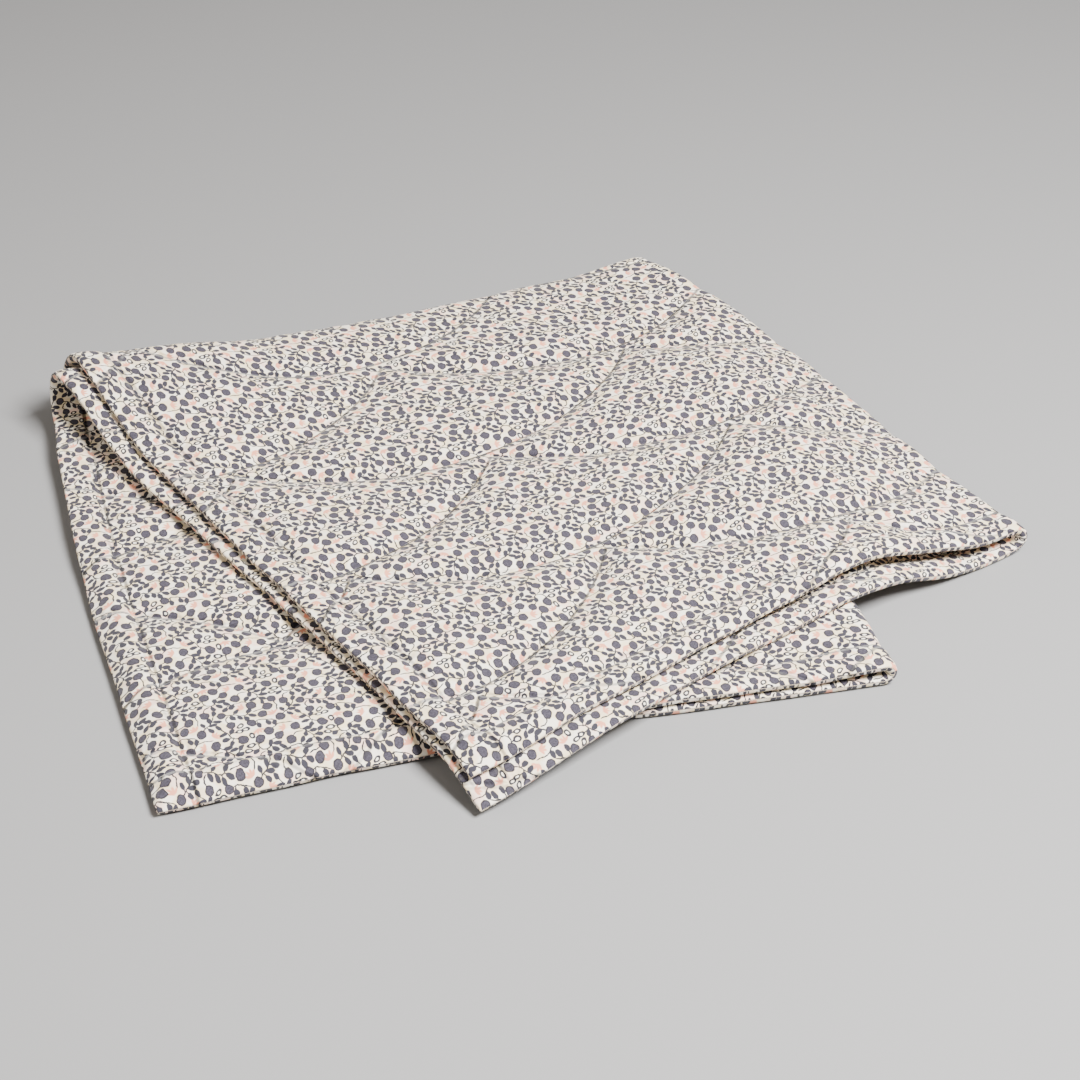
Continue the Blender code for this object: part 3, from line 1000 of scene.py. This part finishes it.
# %% Join the relief into one normal
def puckers(tree, cloth, turned, distance):
    """Short ripples that stand off a seam and die out away from it."""
    strength = falls(tree, distance, 0.0, PUCKER_REACH, PUCKER_HEIGHT)
    return ripples(tree, cloth, PUCKER_PITCH, PUCKER_LENGTH, turned, strength)


def cloth_relief(tree, flat):
    """Normal of the weave, of the grooves that stitching pulls, and of puckers beside them."""
    waves = []
    for turn in (0.0, 0.5 * math.pi):
        turned = add_node(tree, "Mapping", {"Vector": flat, "Rotation": (0.0, 0.0, turn)})
        wave = {"Vector": turned, "Scale": WAVE_PERIOD / THREADS, "Distortion": 0.6}
        waves.append(add_node(tree, "TexWave", wave, output="Fac"))
    weave = add_node(tree, "Math", {0: waves[0], 1: waves[1]}, operation="MULTIPLY")

    cloth = add_node(tree, "Attribute", output="Vector", attribute_name="cloth_place")
    rows = {0: off_rows(tree, "even_rows"), 1: off_rows(tree, "odd_rows")}
    rows = add_node(tree, "Math", rows, operation="MINIMUM")
    hems = add_node(tree, "Attribute", output="Vector", attribute_name="from_hems")
    hems = add_node(tree, "SeparateXYZ", {0: hems}).node.outputs
    side = off_hem_stitch(tree, hems[0])
    end = off_hem_stitch(tree, hems[1])
    near_end = add_node(tree, "Math", {0: rows, 1: end}, operation="MINIMUM")
    nearest = add_node(tree, "Math", {0: near_end, 1: side}, operation="MINIMUM")

    heights = [
        falls(tree, nearest, 0.0, GROOVE_REACH, -GROOVE_DEPTH),
        puckers(tree, cloth, False, near_end),
        puckers(tree, cloth, True, side),
        ripples(tree, cloth, SWELL_SIZE, SWELL_SIZE, False, SWELL_HEIGHT),
    ]
    total = heights[0]
    for height in heights[1:]:
        total = add_node(tree, "Math", {0: total, 1: height}, operation="ADD")
    fine = {"Height": weave, "Strength": 0.35, "Distance": 0.001 * WEAVE_DEPTH}
    fine = add_node(tree, "Bump", fine)
    large = {"Height": total, "Strength": 1.0, "Distance": 0.001, "Normal": fine}
    return add_node(tree, "Bump", large)


# %% The cotton material
# from the lowest colour up: kind of stroke, ink, its edge, how soft that edge is
INKS = (
    ("petal", PEACH, 0.95, 0.35),
    ("stem", STEM, 1.0, 0.25),
    ("small_leaf", SMALL_SLATE, 1.0, 0.08),
    ("open_leaf", STEM, 1.0, 0.08),
    ("open_leaf", CREAM, 0.42, 0.10),
    ("round_leaf", SLATE_RIM, 1.0, 0.05),
)
SLATE_EDGE = (0.80, 0.10)  # edge and softness of the lighter slate inside a round leaf
# lumps to a mm, detail, edge and softness of soft patches
WARM_PATCHES = (0.11, 1.0, 0.5, 0.10)
BLUSH_PATCHES = (0.09, 1.0, 0.40, 0.09)
BLUSH_SHIFT = (370.0, 90.0, 0.0)  # mm, so that the blush lies elsewhere
MOTTLE = (0.9, 2.0, 0.5, 0.12)


def printed_cotton():
    """Plain-weave cotton with a ditsy print: matte, faintly fuzzy, puckered at its seams."""
    material = bpy.data.materials.new("printed_plain_weave_cotton")
    material.use_nodes = True
    tree = material.node_tree
    shader = tree.nodes["Principled BSDF"].inputs
    flat, on_repeat = cloth_coordinates(tree)

    warm = patches(tree, flat, *WARM_PATCHES)
    colour = over_print(tree, linear(CREAM), linear(WARM_CREAM), warm)
    shifted = add_node(tree, "Mapping", {"Vector": flat, "Location": BLUSH_SHIFT})
    blush = patches(tree, shifted, *BLUSH_PATCHES)
    colour = over_print(tree, colour, linear(BLUSH), blush)

    fields = {}
    for kind, ink, edge, softness in INKS:
        if kind not in fields:
            fields[kind] = stroke_field(tree, on_repeat, kind)
        mask = inked(tree, fields[kind], edge, softness)
        colour = over_print(tree, colour, linear(ink), mask)
    mottle = patches(tree, flat, *MOTTLE)
    slate = over_print(tree, linear(SLATE_PALE), linear(SLATE), mottle)
    mask = inked(tree, fields["round_leaf"], *SLATE_EDGE)
    colour = over_print(tree, colour, slate, mask)
    tree.links.new(colour, shader["Base Color"])

    shader["Roughness"].default_value = 0.88
    shader["Specular IOR Level"].default_value = 0.25
    shader["Sheen Weight"].default_value = 0.15
    shader["Sheen Roughness"].default_value = 0.45
    tree.links.new(cloth_relief(tree, flat), shader["Normal"])
    return material


quilt.data.materials.append(printed_cotton())
print("nodes in the cotton:", len(quilt.data.materials[0].node_tree.nodes))

# %% [markdown]
# ## The studio
#
# The quilt lies on a plain pale floor.  A soft light from the front right rakes over the puffs
# and draws their seams.  A weak, low light from the left and a dim warm sky keep the hollows
# between the layers readable.

# %% Floor
bpy.ops.object.select_all(action="DESELECT")
bpy.ops.mesh.primitive_plane_add(size=8.0, location=(0.0, 0.0, cad_low[2]))
floor = bpy.context.object
floor.name = "floor"
paper = bpy.data.materials.new("pale_paper")
paper.use_nodes = True
finish = paper.node_tree.nodes["Principled BSDF"].inputs
finish["Base Color"].default_value = linear("#868789")
finish["Roughness"].default_value = 0.9
floor.data.materials.append(paper)


# %% Lights
def soft_light(name, place_of, size, power, colour):
    """A square area light that looks at the quilt."""
    lamp = bpy.data.lights.new(name, "AREA")
    lamp.size = size
    lamp.energy = power
    lamp.color = linear(colour)[:3]
    holder = bpy.data.objects.new(name, lamp)
    holder.location = place_of
    direction = -np.array(place_of)
    holder.rotation_euler = Vector(direction).to_track_quat("-Z", "Y").to_euler()
    bpy.context.collection.objects.link(holder)
    print(name, "light at m from the quilt:", round(float(np.linalg.norm(direction)), 2))


soft_light("key", place_of=(0.90, -0.80, 1.68), size=0.7, power=192.0, colour="#FFFCF8")
soft_light("fill", place_of=(-1.4, -0.5, 0.9), size=1.4, power=11.0, colour="#FFF6EA")
world = bpy.data.worlds.new("studio_air")
world.use_nodes = True
sky = world.node_tree.nodes["Background"].inputs
sky["Color"].default_value = (1.0, 0.91, 0.82, 1.0)
sky["Strength"].default_value = 0.36
bpy.context.scene.world = world

# %% Camera, looking down at the quilt from the front
CAMERA_HEIGHT_ANGLE = math.radians(34.3)
CAMERA_DISTANCE = 1.612
lens = bpy.data.cameras.new("camera")
lens.lens = 80.0
lens.sensor_width = 36.0
camera = bpy.data.objects.new("camera", lens)
back_off = Vector((0.0, -math.cos(CAMERA_HEIGHT_ANGLE), math.sin(CAMERA_HEIGHT_ANGLE)))
camera.location = Vector(shift) + back_off * CAMERA_DISTANCE
camera.rotation_euler = (-back_off).to_track_quat("-Z", "Y").to_euler()
bpy.context.collection.objects.link(camera)
bpy.context.scene.camera = camera
print("camera at:", [round(value, 3) for value in camera.location])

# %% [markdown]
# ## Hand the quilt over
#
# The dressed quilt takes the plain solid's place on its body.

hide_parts("quilt")
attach(quilt, "root")
